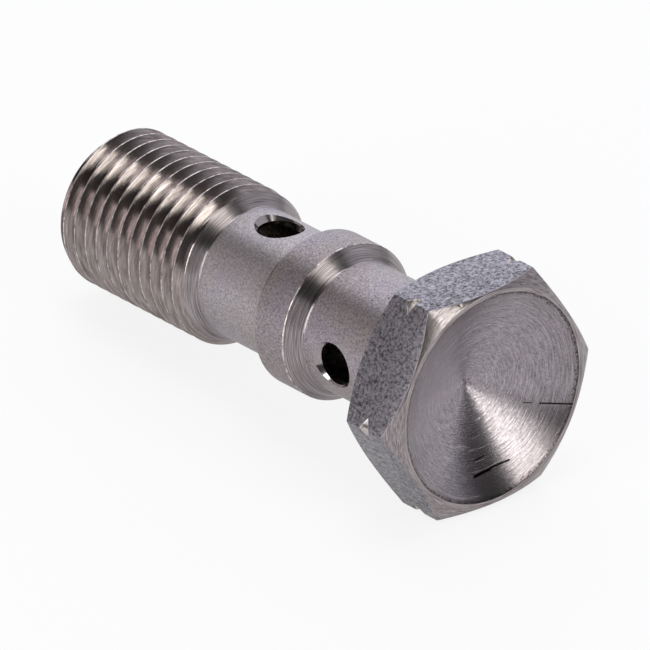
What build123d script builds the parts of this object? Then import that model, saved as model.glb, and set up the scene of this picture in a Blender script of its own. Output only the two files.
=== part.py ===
from build123d import *
import os
from math import atan2, cos, degrees, radians, sin, sqrt, tan

# A double banjo bolt with an M10 x 1 thread, turned and drilled from one hexagonal
# stainless bar. Millimetres and degrees.
#
# Stations are distances along the bolt's axis from the seat under the head, positive
# towards the thread's tip. The bolt lies as it rests on a flat surface: the seat edge
# of one hexagon flat and the end of the thread touch Z = 0, so the axis dips a few
# degrees towards the tip, which points along -X. The origin is the middle of the
# footprint's bounding box, on that surface.

# ---- Head -----------------------------------------------------------------------
hex_flats = 13.72           # 14 mm spanner, across flats
head_height = 4.42          # seat to front ring
front_chamfer_angle = 33.0  # cone that takes off the front corners, from the front plane
seat_chamfer_angle = 30.0   # cone that takes off the seat-side corners, from the seat
ring_inset = 0.05           # flats stand this far outside the front ring and the seat
ring_width = 0.28           # flat ring between the front cone and the dish
dish_depth = 2.6            # faced recess, front plane to apex
dish_bow = 0.21             # how far the dish's side bows past a straight cone
rim_round = 0.08            # soft rim of the dish
groove_root_dia = 15.15     # turned V groove, shallow enough to nick only the corners
groove_station = 2.2        # groove centre, from the seat towards the front
groove_angle = 95.0         # included angle of the V

# ---- Shank ----------------------------------------------------------------------
front_neck_dia = 8.04       # neck next to the head, inside the first banjo eye
front_neck_length = 7.9     # seat to the root of the collar's front chamfer
collar_dia = 9.75           # middle land, a free fit in a 10 mm banjo eye
collar_length = 2.5         # full-diameter width of the middle land
rear_neck_dia = 8.04        # neck next to the thread, inside the second banjo eye
rear_neck_length = 5.35     # between the roots of the two shoulders
shoulder_angle = 45.0       # collar chamfers and thread shoulder, from the axis
root_fillet = 0.25          # where a neck meets a shoulder or the seat
edge_break = 0.08           # worn-off sharpness of the collar's edges

# ---- Thread, M10 x 1: the source keeps its major cylinder ------------------------
thread_major = 9.8          # crest diameter as cut
thread_length = 11.4        # shoulder edge to tip face
tip_chamfer = 0.6           # 45 degree lead-in at the tip

# ---- Drilled passages -------------------------------------------------------------
bore_dia = 7.0              # axial bore, blind, from the tip
bore_point_angle = 118.0    # drill point at the blind end
bore_overrun = 0.3          # full bore past the front cross hole
mouth_chamfer = 0.25        # countersunk mouth of the bore
port_dia = 3.05             # cross holes, right through both neck walls
front_port_inset = 2.55     # front cross hole's axis, from the collar's front root
rear_port_inset = 2.73      # rear cross hole's axis, from the collar's rear root
front_port_clock = -92.0    # turned from the upper flat's normal, clockwise from the head
rear_port_clock = 3.2
port_rim_break = 0.05       # deburred outer rims

cut_margin = 1.0            # how far cutters reach past the surface they cut

# ---- Derived stations and radii ---------------------------------------------------
flat_radius = hex_flats / 2
corner_radius = hex_flats / sqrt(3)
ring_radius = flat_radius - ring_inset
dish_radius = ring_radius - ring_width
thread_radius = thread_major / 2
collar_radius = collar_dia / 2
front_neck_radius = front_neck_dia / 2
rear_neck_radius = rear_neck_dia / 2
bore_radius = bore_dia / 2


def shoulder_run(high, low):
    """Axial length of a shoulder cone between two radii."""
    return (high - low) / tan(radians(shoulder_angle))


collar_front_root = front_neck_length
collar_front_edge = collar_front_root + shoulder_run(collar_radius, front_neck_radius)
collar_rear_edge = collar_front_edge + collar_length
collar_rear_root = collar_rear_edge + shoulder_run(collar_radius, rear_neck_radius)
thread_root = collar_rear_root + rear_neck_length
thread_edge = thread_root + shoulder_run(thread_radius, rear_neck_radius)
tip_station = thread_edge + thread_length
full_thread_end = tip_station - tip_chamfer
front_port_station = collar_front_root - front_port_inset
rear_port_station = collar_rear_root + rear_port_inset
bore_end = front_port_station - port_dia / 2 - bore_overrun
bore_point = bore_end - bore_radius / tan(radians(bore_point_angle / 2))

# ---- How the bolt lies ------------------------------------------------------------
flat_edge_station = -ring_inset * tan(radians(seat_chamfer_angle))
dip = atan2(flat_radius - thread_radius, full_thread_end - flat_edge_station)
seat_height = flat_radius * cos(dip) + flat_edge_station * sin(dip)
head_reach = head_height * cos(dip) + ring_radius * sin(dip)
tip_reach = tip_station * cos(dip) + (thread_radius - tip_chamfer) * sin(dip)
seat_x = (tip_reach - head_reach) / 2

seat_centre = Vector(seat_x, 0, seat_height)
to_tip = Vector(-cos(dip), 0, -sin(dip))
seat_plane = Plane(origin=seat_centre, x_dir=(0, 1, 0), z_dir=to_tip)
section_plane = Plane(origin=seat_centre, x_dir=to_tip, z_dir=(0, 1, 0))
bolt_axis = Axis(seat_centre, to_tip)


def rings_at(part, station, radius):
    """Circular edges about the bolt's axis at one station with one radius."""
    close = 1e-4

    def matches(edge):
        centre = seat_plane.to_local_coords(edge.arc_center)
        on_axis = abs(centre.X) < close and abs(centre.Y) < close
        return on_axis and abs(centre.Z - station) < close and abs(edge.radius - radius) < close

    return part.edges().filter_by(GeomType.CIRCLE).filter_by(matches)


def port_rims(part, neck_radius):
    """Edges of the newest cross hole that lie on the neck's outside."""
    close = 1e-3

    def on_neck(edge):
        places = (seat_plane.to_local_coords(edge.position_at(at)) for at in (0, 0.3, 0.6))
        return all(abs(sqrt(p.X**2 + p.Y**2) - neck_radius) < close for p in places)

    return part.edges(Select.LAST).filter_by(on_neck)


def port_plane(station, clock):
    """Plane across a cross hole, its normal along the hole's axis."""
    turn = radians(clock)
    outward = seat_plane.x_dir * sin(turn) - seat_plane.y_dir * cos(turn)
    return Plane(origin=seat_plane.offset(station).origin, x_dir=to_tip, z_dir=outward)


with BuildPart() as banjo_bolt:
    # Shank: two necks, the middle land and the thread's major cylinder in one turning.
    with BuildSketch(section_plane):
        with BuildLine():
            Polyline(
                (0, 0),
                (0, front_neck_radius),
                (collar_front_root, front_neck_radius),
                (collar_front_edge, collar_radius),
                (collar_rear_edge, collar_radius),
                (collar_rear_root, rear_neck_radius),
                (thread_root, rear_neck_radius),
                (thread_edge, thread_radius),
                (full_thread_end, thread_radius),
                (tip_station, thread_radius - tip_chamfer),
                (tip_station, 0),
                close=True,
            )
        make_face()
    revolve(axis=bolt_axis)

    # Hexagonal head, one flat down.
    with BuildSketch(seat_plane):
        RegularPolygon(radius=flat_radius, side_count=6, major_radius=False, rotation=0)
    extrude(amount=-head_height)

    # Cones that take off the corners at the front and at the seat, leaving a curved
    # scallop on each flat.
    head_reach_out = corner_radius + cut_margin
    for face_station, angle in (
        (-head_height, front_chamfer_angle),
        (0, -seat_chamfer_angle),
    ):
        cone_run = (head_reach_out - ring_radius) * tan(radians(angle))
        with BuildSketch(section_plane):
            with BuildLine():
                Polyline(
                    (face_station, ring_radius),
                    (face_station, head_reach_out),
                    (face_station + cone_run, head_reach_out),
                    close=True,
                )
            make_face()
        revolve(axis=bolt_axis, mode=Mode.SUBTRACT)

    # V groove that nicks the corners.
    groove_half = (head_reach_out - groove_root_dia / 2) * tan(radians(groove_angle / 2))
    with BuildSketch(section_plane):
        with BuildLine():
            Polyline(
                (-groove_station, groove_root_dia / 2),
                (-groove_station - groove_half, head_reach_out),
                (-groove_station + groove_half, head_reach_out),
                close=True,
            )
        make_face()
    revolve(axis=bolt_axis, mode=Mode.SUBTRACT)

    # Dish in the front: shallow beside its pointed centre, steeper towards the rim.
    dish_rim = (-head_height, dish_radius)
    dish_apex = (-head_height + dish_depth, 0)
    with BuildSketch(section_plane):
        with BuildLine():
            SagittaArc(dish_rim, dish_apex, dish_bow)
            Polyline(dish_apex, (-head_height, 0), dish_rim)
        make_face()
    revolve(axis=bolt_axis, mode=Mode.SUBTRACT)
    fillet(rings_at(banjo_bolt, -head_height, dish_radius), radius=rim_round)

    # Soft roots and edges of the necks and the collar.
    roots = (
        rings_at(banjo_bolt, 0, front_neck_radius)
        + rings_at(banjo_bolt, collar_front_root, front_neck_radius)
        + rings_at(banjo_bolt, collar_rear_root, rear_neck_radius)
        + rings_at(banjo_bolt, thread_root, rear_neck_radius)
    )
    fillet(roots, radius=root_fillet)
    land_edges = (
        rings_at(banjo_bolt, collar_front_edge, collar_radius)
        + rings_at(banjo_bolt, collar_rear_edge, collar_radius)
    )
    fillet(land_edges, radius=edge_break)

    # Blind axial bore with its drill point and countersunk mouth.
    with BuildSketch(section_plane):
        with BuildLine():
            Polyline(
                (bore_point, 0),
                (bore_end, bore_radius),
                (tip_station - mouth_chamfer, bore_radius),
                (tip_station, bore_radius + mouth_chamfer),
                (tip_station, 0),
                close=True,
            )
        make_face()
    revolve(axis=bolt_axis, mode=Mode.SUBTRACT)

    # Cross holes, one right through each neck, with deburred outer rims.
    for station, clock, neck_radius in (
        (front_port_station, front_port_clock, front_neck_radius),
        (rear_port_station, rear_port_clock, rear_neck_radius),
    ):
        with BuildSketch(port_plane(station, clock)):
            Circle(port_dia / 2)
        extrude(amount=neck_radius + cut_margin, both=True, mode=Mode.SUBTRACT)
        chamfer(port_rims(banjo_bolt, neck_radius), length=port_rim_break)

banjo_bolt.part.label = "banjo_bolt"
os.makedirs("parts", exist_ok=True)
export_step(banjo_bolt.part, "parts/banjo_bolt.step")
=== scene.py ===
import math

import bpy
import bmesh
from mathutils import Matrix, Vector


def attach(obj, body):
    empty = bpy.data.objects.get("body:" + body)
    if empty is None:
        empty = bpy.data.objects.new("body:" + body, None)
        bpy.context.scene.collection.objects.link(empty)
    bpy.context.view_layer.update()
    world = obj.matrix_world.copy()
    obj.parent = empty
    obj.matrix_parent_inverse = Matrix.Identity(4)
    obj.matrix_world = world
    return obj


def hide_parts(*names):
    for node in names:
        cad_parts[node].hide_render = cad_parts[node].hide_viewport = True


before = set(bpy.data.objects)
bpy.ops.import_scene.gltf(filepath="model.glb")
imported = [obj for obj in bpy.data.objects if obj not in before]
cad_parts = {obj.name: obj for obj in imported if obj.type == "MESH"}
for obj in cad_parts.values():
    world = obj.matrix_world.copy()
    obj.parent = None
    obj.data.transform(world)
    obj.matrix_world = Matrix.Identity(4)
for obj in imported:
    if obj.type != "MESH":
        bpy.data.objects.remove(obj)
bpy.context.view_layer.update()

# A double banjo bolt, turned and drilled from one hexagonal stainless bar.
# It is shaped in millimetres standing on its axis: Z runs from the seat under the
# head towards the thread's tip. At the end it is laid down as it rests, in metres.

# ---- sizes, mm -----------------------------------------------------------------
HEX_FLATS = 13.72
HEAD_HEIGHT = 4.42
SEAT_CHAMFER = math.radians(30.0)
FRONT_CHAMFER = math.radians(33.0)
RING_RADIUS = 6.81
DISH_RADIUS = 6.53
DISH_DEPTH = 2.6
DISH_BOW = 0.21
DISH_STEPS = 20
RIM_ROUND = 0.08
RING_ROUND = 0.04
HEX_EDGE_WEAR = 0.035
GROOVE_ROOT = 7.575
GROOVE_STATION = -2.2
GROOVE_HALF_ANGLE = math.radians(47.5)

NECK_RADIUS = 4.02
LAND_RADIUS = 4.875
LAND_FRONT_ROOT = 7.9
LAND_FRONT_EDGE = LAND_FRONT_ROOT + LAND_RADIUS - NECK_RADIUS
LAND_REAR_EDGE = LAND_FRONT_EDGE + 2.5
LAND_REAR_ROOT = LAND_REAR_EDGE + LAND_RADIUS - NECK_RADIUS
THREAD_ROOT_STATION = LAND_REAR_ROOT + 5.35
THREAD_RADIUS = 4.9
THREAD_EDGE = THREAD_ROOT_STATION + THREAD_RADIUS - NECK_RADIUS
TIP = THREAD_EDGE + 11.4
TIP_CHAMFER = 0.6
ROOT_FILLET = 0.25
EDGE_BREAK = 0.12

PITCH = 1.0
CREST_WIDTH = 0.08
ROOT_ROUND = 0.2
CREST_STATION = 18.28
FLANK_ANGLE = math.radians(30)
THREAD_OVERCUT = 0.05
THREAD_STEPS = 144

BORE_RADIUS = 3.5
BORE_POINT_HALF = math.radians(59.0)
MOUTH_CHAMFER = 0.25
PORT_RADIUS = 1.3
PORT_SINK = 0.33
PORT_CLEAR = 0.2
PORT_STEPS = 96
FRONT_PORT = LAND_FRONT_ROOT - 2.55
REAR_PORT = LAND_REAR_ROOT + 2.73
FRONT_PORT_CLOCK = math.radians(178.0)
REAR_PORT_CLOCK = math.radians(273.2)
BORE_OVERRUN = 0.6
BORE_END = FRONT_PORT - PORT_RADIUS - BORE_OVERRUN

SPIN_STEPS = 192
STOCK_ALLOWANCE = 0.4
FLAT_RADIUS = HEX_FLATS / 2
CORNER_RADIUS = HEX_FLATS / math.sqrt(3)


# ---- modelling by hand ------------------------------------------------------------
def deselect():
    if bpy.context.object and bpy.context.object.mode != "OBJECT":
        bpy.ops.object.mode_set(mode="OBJECT")
    bpy.ops.object.select_all(action="DESELECT")


def pick(piece):
    deselect()
    piece.select_set(True)
    bpy.context.view_layer.objects.active = piece


def draw_outline(name, points):
    """A chain of edges in the XZ plane through (station, radius) points."""
    deselect()
    bpy.ops.mesh.primitive_plane_add(size=1)
    piece = bpy.context.object
    piece.name = name
    bpy.ops.object.mode_set(mode="EDIT")
    bpy.ops.mesh.select_mode(type="VERT")
    bpy.ops.mesh.merge(type="CENTER")
    station, radius = points[0]
    bpy.ops.transform.translate(value=(radius, 0, station))
    for nearer, further in zip(points, points[1:]):
        step = (further[1] - nearer[1], 0, further[0] - nearer[0])
        bpy.ops.mesh.extrude_region_move(TRANSFORM_OT_translate={"value": step})
    bpy.ops.mesh.select_all(action="SELECT")
    return piece


def soften_edges(piece, chosen, width, steps):
    """Bevels the edges for which chosen(edge) holds."""
    pick(piece)
    bpy.ops.object.mode_set(mode="EDIT")
    bpy.ops.mesh.select_mode(type="EDGE")
    bpy.ops.mesh.select_all(action="DESELECT")
    skin = bmesh.from_edit_mesh(piece.data)
    for edge in skin.edges:
        if len(edge.link_faces) == 2 and chosen(edge):
            edge.select = True
    bmesh.update_edit_mesh(piece.data)
    bpy.ops.mesh.bevel(offset=width, segments=steps, profile=0.5, affect="EDGES")
    bpy.ops.object.mode_set(mode="OBJECT")


def spin_up(piece, steps):
    """Turns the outline once round the axis into a closed skin."""
    bpy.ops.mesh.spin(steps=steps, angle=math.tau, center=(0, 0, 0), axis=(0, 0, 1))
    bpy.ops.mesh.select_all(action="SELECT")
    bpy.ops.mesh.remove_doubles(threshold=0.0005)
    bpy.ops.mesh.normals_make_consistent(inside=False)
    bpy.ops.object.mode_set(mode="OBJECT")


def cut_away(piece, cutter):
    """Takes the cutter's volume out of the piece."""
    pick(piece)
    tool = piece.modifiers.new("cut", "BOOLEAN")
    tool.operation = "DIFFERENCE"
    tool.solver = "EXACT"
    tool.object = cutter
    bpy.ops.object.modifier_apply(modifier=tool.name)
    bpy.data.objects.remove(cutter)


def round_corner(before, corner, after, radius, steps=4):
    """Points of an arc that rounds one corner of an outline."""
    corner, before, after = Vector(corner), Vector(before), Vector(after)
    one, other = (before - corner).normalized(), (after - corner).normalized()
    half = one.angle(other) / 2
    reach = radius / math.tan(half)
    centre = corner + (one + other).normalized() * (radius / math.sin(half))
    start, end = corner + one * reach - centre, corner + other * reach - centre
    turn = start.angle_signed(end)
    arc = []
    for step in range(steps + 1):
        spoke = start.copy()
        spoke.rotate(Matrix.Rotation(-turn * step / steps, 2))
        arc.append(tuple(centre + spoke))
    return arc


def softened(points, rounds):
    """The outline with the corners named in rounds {point: radius} made into arcs."""
    outline = []
    for index, point in enumerate(points):
        if point in rounds:
            outline += round_corner(points[index - 1], point, points[index + 1], rounds[point])
        else:
            outline.append(point)
    return outline


def bowed(start, end, bow, steps):
    """Points of a shallow arc between two points, bowed towards larger stations."""
    start, end = Vector(start), Vector(end)
    chord = end - start
    radius = chord.length_squared / (8 * bow) + bow / 2
    side = Vector((chord.y, -chord.x)).normalized()
    if side.x < 0:
        side.negate()
    centre = (start + end) / 2 - side * (radius - bow)
    reach = math.asin(chord.length / 2 / radius)
    along = chord.normalized()
    arc = []
    for step in range(1, steps):
        turn = reach * (2 * step / steps - 1)
        outward = centre + side * radius * math.cos(turn)
        arc.append(tuple(outward + along * radius * math.sin(turn)))
    return arc


# ---- the turned blank ---------------------------------------------------------------
stock = CORNER_RADIUS + STOCK_ALLOWANCE
front = -HEAD_HEIGHT
groove_half = (stock - GROOVE_ROOT) * math.tan(GROOVE_HALF_ANGLE)
bore_point = BORE_END - BORE_RADIUS / math.tan(BORE_POINT_HALF)


def rings_beside(station):
    """Rings on a neck that keep a cross hole's facets short."""
    reaches = (-1.1, -0.7, -0.3, 0.3, 0.7, 1.1)
    return [(station + PORT_RADIUS * reach, NECK_RADIUS) for reach in reaches]


corners = [
    (front + DISH_DEPTH, 0.0),
    *bowed((front + DISH_DEPTH, 0.0), (front, DISH_RADIUS), DISH_BOW, DISH_STEPS),
    (front, DISH_RADIUS),
    (front, RING_RADIUS),
    (front + (stock - RING_RADIUS) * math.tan(FRONT_CHAMFER), stock),
    (GROOVE_STATION - groove_half, stock),
    (GROOVE_STATION, GROOVE_ROOT),
    (GROOVE_STATION + groove_half, stock),
    (-(stock - RING_RADIUS) * math.tan(SEAT_CHAMFER), stock),
    (0.0, RING_RADIUS),
    (0.0, NECK_RADIUS),
    *rings_beside(FRONT_PORT),
    (LAND_FRONT_ROOT, NECK_RADIUS),
    (LAND_FRONT_EDGE, LAND_RADIUS),
    (LAND_REAR_EDGE, LAND_RADIUS),
    (LAND_REAR_ROOT, NECK_RADIUS),
    *rings_beside(REAR_PORT),
    (THREAD_ROOT_STATION, NECK_RADIUS),
    (THREAD_EDGE, THREAD_RADIUS),
    (TIP - TIP_CHAMFER, THREAD_RADIUS),
    (TIP, THREAD_RADIUS - TIP_CHAMFER),
    (TIP, BORE_RADIUS + MOUTH_CHAMFER),
    (TIP - MOUTH_CHAMFER, BORE_RADIUS),
    (BORE_END, BORE_RADIUS),
    (bore_point, 0.0),
]
rounds = {
    (front, DISH_RADIUS): RIM_ROUND,
    (front, RING_RADIUS): RING_ROUND,
    (0.0, NECK_RADIUS): ROOT_FILLET,
    (LAND_FRONT_ROOT, NECK_RADIUS): ROOT_FILLET,
    (LAND_FRONT_EDGE, LAND_RADIUS): EDGE_BREAK,
    (LAND_REAR_EDGE, LAND_RADIUS): EDGE_BREAK,
    (LAND_REAR_ROOT, NECK_RADIUS): ROOT_FILLET,
    (THREAD_ROOT_STATION, NECK_RADIUS): ROOT_FILLET,
}
bolt = draw_outline("bolt", softened(corners, rounds))
spin_up(bolt, SPIN_STEPS)

# ---- the hexagon: six flats milled off the head -----------------------------------
pick(bolt)
bpy.ops.object.mode_set(mode="EDIT")
for flat in range(6):
    turn = math.radians(30 + 60 * flat)
    outward = Vector((math.cos(turn), math.sin(turn), 0))
    bpy.ops.mesh.select_all(action="SELECT")
    bpy.ops.mesh.bisect(plane_co=outward * FLAT_RADIUS, plane_no=outward,
                        use_fill=True, clear_outer=True, threshold=0.0001)
bpy.ops.object.mode_set(mode="OBJECT")


def is_flat(face):
    """True for one of the six milled flats."""
    return abs(face.normal.z) < 0.01 and face.calc_area() > 5.0


def bounds_flat(edge):
    """True where a flat meets a cone, the groove or the next flat."""
    flats = [is_flat(face) for face in edge.link_faces]
    return any(flats) and edge.calc_face_angle(0.0) > math.radians(5)


soften_edges(bolt, bounds_flat, HEX_EDGE_WEAR, 2)

# ---- the thread: a helical V cut out of the major cylinder -------------------------
half_gap = (PITCH - CREST_WIDTH) / 2
root_centre = (THREAD_RADIUS - half_gap / math.tan(FLANK_ANGLE)
               + ROOT_ROUND / math.sin(FLANK_ANGLE))
half_top = half_gap + THREAD_OVERCUT * math.tan(FLANK_ANGLE)
first_root = CREST_STATION - 2.5 * PITCH
turns = math.ceil((TIP - first_root) / PITCH) + 1
groove = [(first_root - half_top, THREAD_RADIUS + THREAD_OVERCUT)]
for degrees in range(-60, 61, 15):
    swing = math.radians(degrees)
    groove.append((first_root + ROOT_ROUND * math.sin(swing),
                   root_centre - ROOT_ROUND * math.cos(swing)))
groove.append((first_root + half_top, THREAD_RADIUS + THREAD_OVERCUT))
deselect()
tooth = draw_outline("thread_tool", groove)
bpy.ops.mesh.edge_face_add()
bpy.ops.mesh.delete(type="ONLY_FACE")
bpy.ops.object.mode_set(mode="OBJECT")
pick(tooth)
screw = tooth.modifiers.new("helix", "SCREW")
screw.angle = math.tau
screw.screw_offset = PITCH
screw.iterations = turns
screw.steps = screw.render_steps = THREAD_STEPS
screw.use_merge_vertices = False
bpy.ops.object.modifier_apply(modifier=screw.name)
bpy.ops.object.mode_set(mode="EDIT")
bpy.ops.mesh.select_all(action="DESELECT")
bpy.ops.mesh.select_mode(type="EDGE")
bpy.ops.mesh.select_non_manifold(
    extend=False, use_wire=False, use_boundary=True,
    use_multi_face=False, use_non_contiguous=False, use_verts=False)
bpy.ops.mesh.edge_face_add()
bpy.ops.mesh.select_all(action="SELECT")
bpy.ops.mesh.normals_make_consistent(inside=False)
bpy.ops.object.mode_set(mode="OBJECT")
cut_away(bolt, tooth)

# ---- the cross holes, drilled through and countersunk at both ends ------------------
# One turned cutter has the drill and both countersinks, so no two cuts share a surface.
port_mouth = (NECK_RADIUS + PORT_CLEAR, PORT_RADIUS + PORT_SINK + PORT_CLEAR)
port_throat = (NECK_RADIUS - PORT_SINK, PORT_RADIUS)
for station, clock in ((FRONT_PORT, FRONT_PORT_CLOCK), (REAR_PORT, REAR_PORT_CLOCK)):
    deselect()
    drill = draw_outline("drill", [
        (port_mouth[0], 0.0),
        port_mouth,
        port_throat,
        (-port_throat[0], port_throat[1]),
        (-port_mouth[0], port_mouth[1]),
        (-port_mouth[0], 0.0),
    ])
    spin_up(drill, PORT_STEPS)
    outward = Vector((math.cos(clock), math.sin(clock), 0))
    across = Vector((0, 0, 1)).cross(outward)
    drill.matrix_world = Matrix.Translation((0, 0, station)) @ Matrix(
        (across, (0, 0, 1), outward)).transposed().to_4x4()
    bpy.context.view_layer.update()
    cut_away(bolt, drill)

# ---- wear: nicks and pits, small dents cut out of the surface ------------------------
# Each is its clock angle in degrees, radius, station and half sizes round, outward and along.
NICKS = (
    (255.4, 7.16, -4.22, 0.26, 0.11, 0.07),
    (252.9, 7.16, -4.24, 0.10, 0.07, 0.05),
    (203.4, 4.92, 26.85, 0.12, 0.07, 0.07),
    (162.5, 4.86, 23.62, 0.10, 0.08, 0.09),
    (255.4, 4.02, 3.52, 0.08, 0.05, 0.07),
    (294.4, 4.10, 8.01, 0.09, 0.06, 0.07),
    (201.3, 4.04, 7.74, 0.09, 0.06, 0.07),
    (203.0, 7.55, -3.80, 0.08, 0.06, 0.06),
)
NICK_RAGGEDNESS = 0.02
dents = []
for index, (clock, radius, station, *half_sizes) in enumerate(NICKS):
    deselect()
    turn = math.radians(clock)
    bpy.ops.mesh.primitive_ico_sphere_add(
        subdivisions=2, radius=1, scale=half_sizes, rotation=(0, 0, turn - math.pi / 2),
        location=(radius * math.cos(turn), radius * math.sin(turn), station))
    dents.append(bpy.context.object)
    bpy.ops.object.transform_apply(location=True, rotation=True, scale=True)
    bpy.ops.object.mode_set(mode="EDIT")
    bpy.ops.transform.vertex_random(offset=NICK_RAGGEDNESS, seed=index + 1)
deselect()
for dent in dents:
    dent.select_set(True)
bpy.context.view_layer.objects.active = dents[0]
bpy.ops.object.join()
cut_away(bolt, dents[0])

# ---- laid down as it rests ---------------------------------------------------------
MILLIMETRE = 0.001
SMOOTH_BELOW = math.radians(25)
touch = -(FLAT_RADIUS - RING_RADIUS) * math.tan(SEAT_CHAMFER)
dip = math.atan2(FLAT_RADIUS - THREAD_RADIUS, TIP - TIP_CHAMFER - touch)
head_reach = HEAD_HEIGHT * math.cos(dip) + RING_RADIUS * math.sin(dip)
tip_reach = TIP * math.cos(dip) + (THREAD_RADIUS - TIP_CHAMFER) * math.sin(dip)
seat_height = FLAT_RADIUS * math.cos(dip) + touch * math.sin(dip)
seat = Vector(((tip_reach - head_reach) / 2, 0, seat_height))
lay = Matrix.Translation(seat) @ Matrix((
    (0, math.sin(dip), -math.cos(dip), 0),
    (1, 0, 0, 0),
    (0, -math.cos(dip), -math.sin(dip), 0),
    (0, 0, 0, 1),
))
pick(bolt)
bolt.matrix_world = Matrix.Scale(MILLIMETRE, 4) @ lay
bpy.ops.object.transform_apply(location=True, rotation=True, scale=True)
bpy.ops.object.shade_smooth_by_angle(angle=SMOOTH_BELOW)


# ---- materials ------------------------------------------------------------------------
def linear(hex_value):
    """Linear colour from an sRGB hex value."""
    channels = [int(hex_value[i:i + 2], 16) / 255 for i in (1, 3, 5)]
    straight = [c / 12.92 if c <= 0.04045 else ((c + 0.055) / 1.055) ** 2.4 for c in channels]
    return straight + [1.0]


def add(tree, kind, settings=None, links=None):
    """Adds a node with its settings and its inputs' values or links."""
    node = tree.nodes.new(kind)
    for key, value in (settings or {}).items():
        setattr(node, key, value)
    for key, value in (links or {}).items():
        socket = node.inputs[key]
        if isinstance(value, bpy.types.NodeSocket):
            tree.links.new(value, socket)
        else:
            socket.default_value = value
    return node


def steel(name, roughness, anisotropy):
    """A bare steel surface; its highlights stretch across the turning marks."""
    material = bpy.data.materials.new(name)
    material.use_nodes = True
    tree = material.node_tree
    shader = tree.nodes["Principled BSDF"]
    shader.inputs["Metallic"].default_value = 1.0
    shader.inputs["Roughness"].default_value = roughness
    shader.inputs["Anisotropic"].default_value = anisotropy
    if anisotropy:
        axis = add(tree, "ShaderNodeCombineXYZ", links=dict(zip("XYZ", lay.col[2].xyz)))
        tree.links.new(axis.outputs["Vector"], shader.inputs["Tangent"])
    return material, tree, shader


def standing(tree):
    """Object coordinates turned back to the standing bolt, in millimetres."""
    place = add(tree, "ShaderNodeTexCoord")
    return add(tree, "ShaderNodeMapping", {"vector_type": "TEXTURE"}, {
        "Vector": place.outputs["Object"],
        "Location": seat * MILLIMETRE,
        "Rotation": lay.to_euler(),
        "Scale": (MILLIMETRE, MILLIMETRE, MILLIMETRE),
    }).outputs["Vector"]


# Scratches across the dish: ends as (x, y) in millimetres, and width.
DISH_SCRATCHES = (
    ((4.22, 2.24), (6.25, 2.68), 0.06),
    ((3.30, 2.02), (3.75, 2.12), 0.04),
    ((-1.02, 5.06), (0.20, 5.02), 0.11),
    ((0.25, 4.98), (1.62, 4.92), 0.07),
    ((-0.80, 4.30), (0.10, 4.22), 0.05),
)

# The clock angle round which a painted sheen makes the dish paler, standing in for a brighter
# reflection there.
PALE_CLOCK = math.radians(204)


# Leaves out the part of a place that runs along the bolt's axis.
ACROSS_AXIS = (1, 1, 0)


def grain(tree, place, per_mm, detail, harshness):
    """Even speckle; per_mm is how many grains fit in a millimetre."""
    return add(tree, "ShaderNodeTexNoise", {"noise_dimensions": "3D"}, {
        "Vector": place, "Scale": per_mm, "Detail": detail, "Roughness": harshness,
    }).outputs["Fac"]


def turning_marks(tree, place, by_radius, per_mm, arcs, detail):
    """Broken fine lines round the axis: per_mm across them, arcs to a turn."""
    flat = add(tree, "ShaderNodeVectorMath", {"operation": "MULTIPLY"},
               {0: place, 1: ACROSS_AXIS}).outputs[0]
    spoke = add(tree, "ShaderNodeVectorMath", {"operation": "NORMALIZE"}, {0: flat}).outputs[0]
    around = add(tree, "ShaderNodeVectorMath", {"operation": "SCALE"},
                 {0: spoke, "Scale": arcs / math.tau}).outputs[0]
    if by_radius:
        across = add(tree, "ShaderNodeVectorMath", {"operation": "LENGTH"},
                     {0: flat}).outputs["Value"]
    else:
        across = add(tree, "ShaderNodeSeparateXYZ", links={0: place}).outputs["Z"]
    level = add(tree, "ShaderNodeMath", {"operation": "MULTIPLY"},
                {0: across, 1: per_mm}).outputs[0]
    lift = add(tree, "ShaderNodeCombineXYZ", links={"Z": level}).outputs[0]
    spot = add(tree, "ShaderNodeVectorMath", {"operation": "ADD"},
               {0: around, 1: lift}).outputs[0]
    return add(tree, "ShaderNodeTexNoise", {"noise_dimensions": "3D"}, {
        "Vector": spot, "Scale": 1.0, "Detail": detail, "Roughness": 0.6,
    }).outputs["Fac"]


def between(tree, value, low, high, at_low, at_high):
    """Maps a value from low..high to at_low..at_high and holds it there."""
    return add(tree, "ShaderNodeMapRange", {"clamp": True}, {
        "Value": value, "From Min": low, "From Max": high,
        "To Min": at_low, "To Max": at_high,
    }).outputs["Result"]


def mixed(tree, factor, one, other):
    """A colour between two hex colours or colour outputs."""
    pair = [linear(c) if isinstance(c, str) else c for c in (one, other)]
    node = add(tree, "ShaderNodeMix", {"data_type": "RGBA"}, {"Factor": factor})
    for socket, value in zip((node.inputs[6], node.inputs[7]), pair):
        if isinstance(value, bpy.types.NodeSocket):
            tree.links.new(value, socket)
        else:
            socket.default_value = value
    return node.outputs[2]


def dented(tree, shader, height, depth):
    """Raises the surface by height times depth in metres for its shading."""
    relief = add(tree, "ShaderNodeBump", links={
        "Height": height, "Strength": 1.0, "Distance": depth,
    })
    tree.links.new(relief.outputs["Normal"], shader.inputs["Normal"])


def near_line(tree, place, start, end, width):
    """1 on a scratch between two points, 0 beside it."""
    start, end = Vector(start), Vector(end)
    run = end - start
    away = add(tree, "ShaderNodeVectorMath", {"operation": "SUBTRACT"},
               {0: place, 1: start}).outputs[0]
    dot = add(tree, "ShaderNodeVectorMath", {"operation": "DOT_PRODUCT"},
              {0: away, 1: run / run.length_squared}).outputs["Value"]
    share = between(tree, dot, 0.0, 1.0, 0.0, 1.0)
    foot = add(tree, "ShaderNodeVectorMath", {"operation": "SCALE"},
               {0: run, "Scale": share}).outputs[0]
    gap = add(tree, "ShaderNodeVectorMath", {"operation": "DISTANCE"},
              {0: away, 1: foot}).outputs["Value"]
    return between(tree, gap, width * 0.5, width, 1.0, 0.0)


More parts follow.
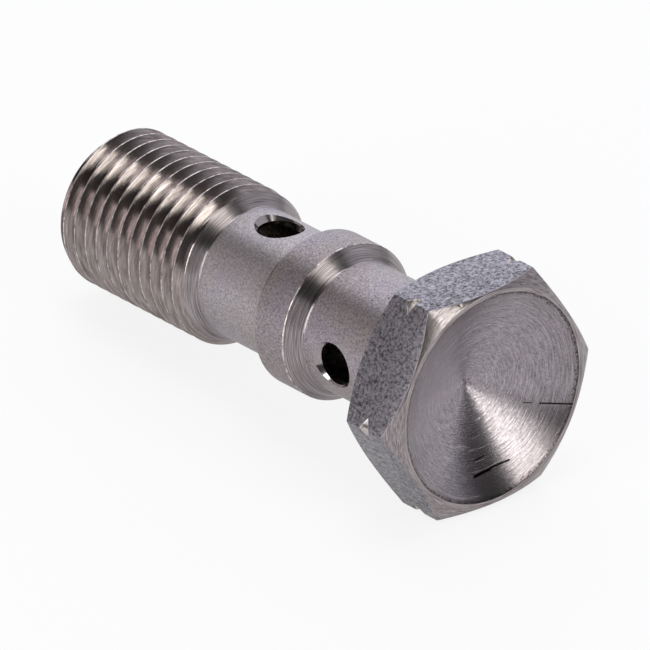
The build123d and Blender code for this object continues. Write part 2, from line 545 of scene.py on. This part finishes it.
# Turned, then tumbled stainless: a soft satin grey with no lines left. The dints are about
# 0.03 mm across and are drawn at 0.12 mm, the smallest that shows.
tumbled, tree, shader = steel("stainless_turned_tumbled", 0.42, 0.3)
place = standing(tree)
speckle = between(tree, grain(tree, place, 8.0, 3.0, 0.7), 0.3, 0.7, 0.0, 1.0)
patches = between(tree, grain(tree, place, 0.4, 2.0, 0.5), 0.35, 0.65, 0.0, 1.0)
warm = mixed(tree, speckle, "#716767", "#beb4b4")
cool = mixed(tree, speckle, "#706970", "#bdb5bd")
colour = mixed(tree, patches, warm, cool)
# The land is rubbed a little darker than the rear neck beside it.
station = add(tree, "ShaderNodeSeparateXYZ", links={0: place}).outputs["Z"]
on_land = add(tree, "ShaderNodeMath", {"operation": "COMPARE"}, {
    0: station,
    1: (LAND_FRONT_EDGE + LAND_REAR_EDGE) / 2,
    2: (LAND_REAR_EDGE - LAND_FRONT_EDGE) / 2,
}).outputs[0]
behind = between(tree, station, LAND_REAR_EDGE, LAND_REAR_EDGE + 0.1, 0.0, 0.06)
colour = mixed(tree, behind, colour, "#ffffff")
colour = mixed(tree, between(tree, on_land, 0.0, 1.0, 0.0, 0.12), colour, "#3c3634")
tree.links.new(colour, shader.inputs["Base Color"])
tree.links.new(between(tree, speckle, 0.0, 1.0, 0.48, 0.37), shader.inputs["Roughness"])
dented(tree, shader, speckle, 2e-6)


def turned(name, roughness, anisotropy, by_radius, per_mm, arcs, dark, light):
    """A lathe-cut surface with fine broken lines round the axis."""
    material, tree, shader = steel(name, roughness, anisotropy)
    marks = turning_marks(tree, standing(tree), by_radius, per_mm, arcs, 3.0)
    lines = between(tree, marks, 0.3, 0.7, 0.0, 1.0)
    tree.links.new(mixed(tree, lines, dark, light), shader.inputs["Base Color"])
    tree.links.new(between(tree, lines, 0.0, 1.0, roughness + 0.04, roughness - 0.04),
                   shader.inputs["Roughness"])
    dented(tree, shader, lines, 1.5e-6)
    return material


# Freshly cut stainless on the shoulders: bright streaks across fine lathe lines, which are
# 0.03 mm apart.
bright = turned("stainless_bright_cut", 0.3, 0.9, False, 38.0, 12, "#544b4d", "#bab2b4")
# The chamfers of the head, cut with a broader tool: the same streaks, shorter lines.
cone = turned("stainless_chamfered_head", 0.3, 0.9, False, 26.0, 90, "#6f6668", "#b4acae")
# Faced seat and tip: even rings 0.05 mm apart and no streak.
faced_end = turned("stainless_faced_end", 0.32, 0.0, True, 20.0, 30, "#6a6163", "#b8b0b2")
# Single-point cut thread: a smoother flank that goes sharply from light to dark.
threaded = turned("stainless_cut_thread", 0.22, 0.85, False, 16.0, 24, "#7e7472", "#b5abaa")

# Drawn bar with its pickled skin on the flats: matt and dark, with an open grit of black and
# grey. The pits are under 0.1 mm and are drawn from 0.2 mm down.
skin, tree, shader = steel("stainless_pickled_bar_skin", 0.4, 0.0)
place = standing(tree)
grit = between(tree, grain(tree, place, 5.0, 4.0, 0.85), 0.36, 0.64, 0.0, 1.0)
tree.links.new(mixed(tree, grit, "#1c1a1e", "#ada8b1"), shader.inputs["Base Color"])
tree.links.new(between(tree, grit, 0.0, 1.0, 0.44, 0.3), shader.inputs["Roughness"])
dented(tree, shader, grit, 4e-6)

# Dish faced by a form tool: half-bright steel with rings 0.05 mm apart, a few deeper ones,
# a frosted tone, a dark ragged line inside the rim and a dark spot where the tool ran out at the
# middle.
faced, tree, shader = steel("stainless_faced_dish", 0.22, 0.5)
place = standing(tree)
rings = between(tree, turning_marks(tree, place, True, 20.0, 36, 4.0), 0.3, 0.7, 0.0, 1.0)
deeper = between(tree, turning_marks(tree, place, True, 9.0, 9, 1.0), 0.64, 0.7, 0.0, 1.0)
frost = between(tree, grain(tree, place, 8.0, 3.0, 0.7), 0.3, 0.7, 0.0, 1.0)
streaks = add(tree, "ShaderNodeMix", {"data_type": "FLOAT"},
              {0: 0.4, 2: rings, 3: frost}).outputs[0]
colour = mixed(tree, streaks, "#534d53", "#bab2b9")
# The deeper rings are real grooves in the bump and are also painted lighter, a painted glint.
colour = mixed(tree, between(tree, deeper, 0.0, 1.0, 0.0, 0.24), colour, "#e2dcdf")
flat_place = add(tree, "ShaderNodeVectorMath", {"operation": "MULTIPLY"},
                 {0: place, 1: ACROSS_AXIS}).outputs[0]
reach = add(tree, "ShaderNodeVectorMath", {"operation": "LENGTH"},
            {0: flat_place}).outputs["Value"]
# Darker towards the rim.
colour = mixed(tree, between(tree, reach, 4.6, 6.3, 0.0, 0.3), colour, "#6c6465")
# Painted sheen: the dish is made paler round one clock angle.
spoke = add(tree, "ShaderNodeVectorMath", {"operation": "NORMALIZE"},
            {0: flat_place}).outputs[0]
toward = add(tree, "ShaderNodeVectorMath", {"operation": "DOT_PRODUCT"},
             {0: spoke, 1: (math.cos(PALE_CLOCK), math.sin(PALE_CLOCK), 0)}).outputs["Value"]
colour = mixed(tree, between(tree, toward, 0.68, 0.95, 0.0, 0.34), colour, "#ebe3e8")
# A dark ragged line just inside the rim.
ragged = add(tree, "ShaderNodeMath", {"operation": "MULTIPLY_ADD"},
             {0: frost, 1: 0.5, 2: reach}).outputs[0]
rim = between(tree, ragged, DISH_RADIUS + 0.1, DISH_RADIUS + 0.22, 0.0, 0.85)
centre = between(tree, ragged, 0.3, 0.6, 0.7, 0.0)
colour = mixed(tree, rim, colour, "#2e2420")
colour = mixed(tree, centre, colour, "#3a2d28")
for start, end, width in DISH_SCRATCHES:
    scratch = near_line(tree, flat_place, (*start, 0), (*end, 0), width)
    colour = mixed(tree, scratch, colour, "#14110f")
tree.links.new(colour, shader.inputs["Base Color"])
tree.links.new(between(tree, rings, 0.0, 1.0, 0.26, 0.18), shader.inputs["Roughness"])
height = add(tree, "ShaderNodeMath", {"operation": "MULTIPLY_ADD"},
             {0: deeper, 1: -1.0, 2: rings}).outputs[0]
dented(tree, shader, height, 3e-6)

# Drilled walls: painted shade, a dull brown-black in patches of about 0.4 mm.
drilled, tree, shader = steel("stainless_drilled", 0.3, 0.0)
place = standing(tree)
dirt = between(tree, grain(tree, place, 2.5, 3.0, 0.7), 0.4, 0.62, 0.0, 1.0)
tree.links.new(mixed(tree, dirt, "#332e29", "#8f857f"), shader.inputs["Base Color"])
dented(tree, shader, dirt, 6e-6)

# Countersinks cut last, with a sharp tool: nearly a mirror.
sunk, tree, shader = steel("stainless_countersunk", 0.16, 0.0)
place = standing(tree)
marks = grain(tree, place, 5.0, 2.0, 0.6)
tree.links.new(mixed(tree, marks, "#8c8587", "#b6aeb1"), shader.inputs["Base Color"])

# Painted highlight on edges, groove faces and thread crests: a pale warm line, broken every 0.3
# mm or so.
burnished, tree, shader = steel("stainless_burnished_edge", 0.34, 0.0)
rubbed = between(tree, grain(tree, standing(tree), 3.0, 3.0, 0.6), 0.35, 0.65, 0.0, 1.0)
tree.links.new(mixed(tree, rubbed, "#6f6564", "#e8dfdd"), shader.inputs["Base Color"])

TUMBLED, BRIGHT, CONE, SKIN, FACED, DRILLED, THREADED, SUNK, BURNISHED, END = range(10)
for material in (tumbled, bright, cone, skin, faced,
                 drilled, threaded, sunk, burnished, faced_end):
    bolt.data.materials.append(material)


def is_sunk(centre, outward):
    """True on the countersunk rim of a cross hole."""
    for station, clock in ((FRONT_PORT, FRONT_PORT_CLOCK), (REAR_PORT, REAR_PORT_CLOCK)):
        across = Vector((-math.sin(clock), math.cos(clock), 0))
        aside = Vector((centre.dot(across), centre.z - station))
        if PORT_RADIUS < aside.length < PORT_RADIUS + PORT_SINK + 0.02:
            return centre.xy.length > NECK_RADIUS - PORT_SINK - 0.1 and 0.2 < outward < 0.96
    return False


def finish_of(centre, normal):
    """Which operation left a facet as it is, or which painted highlight or shade it takes, from
    its place on the standing bolt.
    """
    radius = centre.xy.length
    outward = (normal.x * centre.x + normal.y * centre.y) / max(radius, 0.01)
    worn_edge = abs(centre.z - LAND_FRONT_EDGE) < EDGE_BREAK / 2
    worn_edge = worn_edge and LAND_RADIUS - 0.1 < radius and 0.05 < abs(normal.z) < 0.69
    nicked = abs(centre.z - GROOVE_STATION) < 0.5 and radius > GROOVE_ROOT and abs(normal.z) > 0.4
    crest = centre.z > THREAD_EDGE and radius > THREAD_RADIUS - 0.012 and outward > 0.9
    # The land's front edge, the groove's faces and the thread's crests take a painted highlight.
    if worn_edge or nicked or (crest and centre.z < TIP - TIP_CHAMFER):
        return BURNISHED
    if is_sunk(centre, outward):
        return SUNK
    if centre.z < GROOVE_STATION + 3 and radius < DISH_RADIUS + 0.02 and normal.z < -0.5:
        return FACED
    # Walls inside the bore and the cross holes take the painted shade of the drilled finish.
    if centre.z > BORE_END - 3 and radius < NECK_RADIUS - 0.02 and (outward < 0.5 or radius < 3):
        return DRILLED if centre.z < TIP - MOUTH_CHAMFER else BRIGHT
    if centre.z < 0 and abs(normal.z) < 0.02 and radius > 6:
        return SKIN
    if abs(normal.z) > 0.95:
        return END
    if abs(centre.z - LAND_REAR_EDGE) < EDGE_BREAK / 2:
        return TUMBLED
    if centre.z > THREAD_EDGE and centre.z < TIP - 0.01:
        return THREADED
    if abs(normal.z) > 0.2:
        return BRIGHT if centre.z > 0.01 else CONE
    return TUMBLED


upright = lay.inverted()
for facet in bolt.data.polygons:
    centre = upright @ (facet.center * 1000)
    facet.material_index = finish_of(centre, upright.to_3x3() @ facet.normal)

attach(bolt, "root")
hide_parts("banjo_bolt")

# ---- floor, light and camera ----------------------------------------------------------
FLOOR_SIDE = 0.6
# How far the floor goes to plain white for the camera and for what mirrors it.
WHITE_TO_CAMERA = 0.85
WHITE_TO_MIRRORS = 0.5
WORLD_LIGHT = 0.06
deselect()
bpy.ops.mesh.primitive_plane_add(size=FLOOR_SIDE)
floor = bpy.context.object
floor.name = "floor"
# White acrylic sheet, sand-blasted: an even pale ground with a soft shadow and no glare.
paper = bpy.data.materials.new("white_acrylic_sheet")
paper.use_nodes = True
floor_tree = paper.node_tree
surface = floor_tree.nodes["Principled BSDF"]
surface.inputs["Base Color"].default_value = linear("#f4f4f4")
surface.inputs["Roughness"].default_value = 0.5
seen = add(floor_tree, "ShaderNodeLightPath")
by_camera = add(floor_tree, "ShaderNodeMath", {"operation": "MULTIPLY"},
                {0: seen.outputs["Is Camera Ray"], 1: WHITE_TO_CAMERA})
whitened = add(floor_tree, "ShaderNodeMath", {"operation": "MULTIPLY_ADD"},
               {0: seen.outputs["Is Glossy Ray"], 1: WHITE_TO_MIRRORS,
                2: by_camera.outputs[0]})
glow = add(floor_tree, "ShaderNodeEmission", links={"Color": (1, 1, 1, 1), "Strength": 1.0})
both = add(floor_tree, "ShaderNodeMixShader", links={
    0: whitened.outputs[0],
    1: surface.outputs[0],
    2: glow.outputs[0],
})
floor_tree.links.new(both.outputs[0], floor_tree.nodes["Material Output"].inputs["Surface"])
floor.data.materials.append(paper)

world = bpy.data.worlds.new("studio")
bpy.context.scene.world = world
world.use_nodes = True
backdrop = world.node_tree.nodes["Background"]
backdrop.inputs["Color"].default_value = (1, 1, 1, 1)
looked_at = add(world.node_tree, "ShaderNodeLightPath").outputs["Is Camera Ray"]
tone = add(world.node_tree, "ShaderNodeMapRange", links={
    "Value": looked_at, "To Min": WORLD_LIGHT, "To Max": 1.0,
})
world.node_tree.links.new(tone.outputs["Result"], backdrop.inputs["Strength"])

LAMP_DISTANCE = 0.6
LAMP_AIM = Vector((0, 0, 0.007))


def softbox(name, azimuth, elevation, spread, brightness, hex_value):
    """A soft lamp in a direction; spread is its width and height in degrees as seen."""
    turn, rise = math.radians(azimuth), math.radians(elevation)
    toward = Vector((math.sin(turn) * math.cos(rise),
                     -math.cos(turn) * math.cos(rise),
                     math.sin(rise)))
    deselect()
    bpy.ops.object.light_add(type="AREA", location=toward * LAMP_DISTANCE + LAMP_AIM,
                             rotation=toward.to_track_quat("Z", "Y").to_euler())
    lamp = bpy.context.object
    lamp.name = name
    lamp.data.shape = "RECTANGLE"
    lamp.data.size, lamp.data.size_y = (
        2 * LAMP_DISTANCE * math.tan(math.radians(angle / 2)) for angle in spread)
    lamp.data.energy = brightness * lamp.data.size * lamp.data.size_y * math.pi
    lamp.data.color = linear(hex_value)[:3]


softbox("key_upper", 94, 50, (20, 28), 2.5, "#fffff6")
softbox("key_lower", 101, 14, (21, 42), 3.6, "#fffff6")
softbox("front_strip", 2, 16, (26, 46), 5.0, "#ffffff")
softbox("back_softbox", 230, 30, (68, 60), 1.4, "#f4f7ff")
softbox("side_fill", 164, 26, (44, 60), 0.7, "#f7f8ff")
softbox("front_fill", 308, 18, (56, 52), 0.42, "#fff8f6")
softbox("top_softbox", 230, 84, (30, 30), 3.0, "#ffffff")

VIEW_AZIMUTH = math.radians(49.7405)
VIEW_ELEVATION = math.radians(30.7315)
VIEW_ROLL = math.radians(0.2984)
VIEW_DISTANCE = 1.168484
AIM = Vector((0.0016899, 0.0001641, 0.0050092))
LENS = 1107.7
back = Vector((math.sin(VIEW_AZIMUTH) * math.cos(VIEW_ELEVATION),
               -math.cos(VIEW_AZIMUTH) * math.cos(VIEW_ELEVATION),
               math.sin(VIEW_ELEVATION)))
deselect()
bpy.ops.object.camera_add(location=AIM + back * VIEW_DISTANCE)
camera = bpy.context.object
camera.rotation_euler = (Matrix.Rotation(VIEW_AZIMUTH, 3, "Z")
                         @ Matrix.Rotation(math.pi / 2 - VIEW_ELEVATION, 3, "X")
                         @ Matrix.Rotation(VIEW_ROLL, 3, "Z")).to_euler()
camera.data.lens = LENS
camera.data.sensor_width = 36.0
camera.data.clip_start = 0.1
camera.data.clip_end = 10.0
bpy.context.scene.camera = camera
bpy.context.scene.view_settings.view_transform = "Standard"
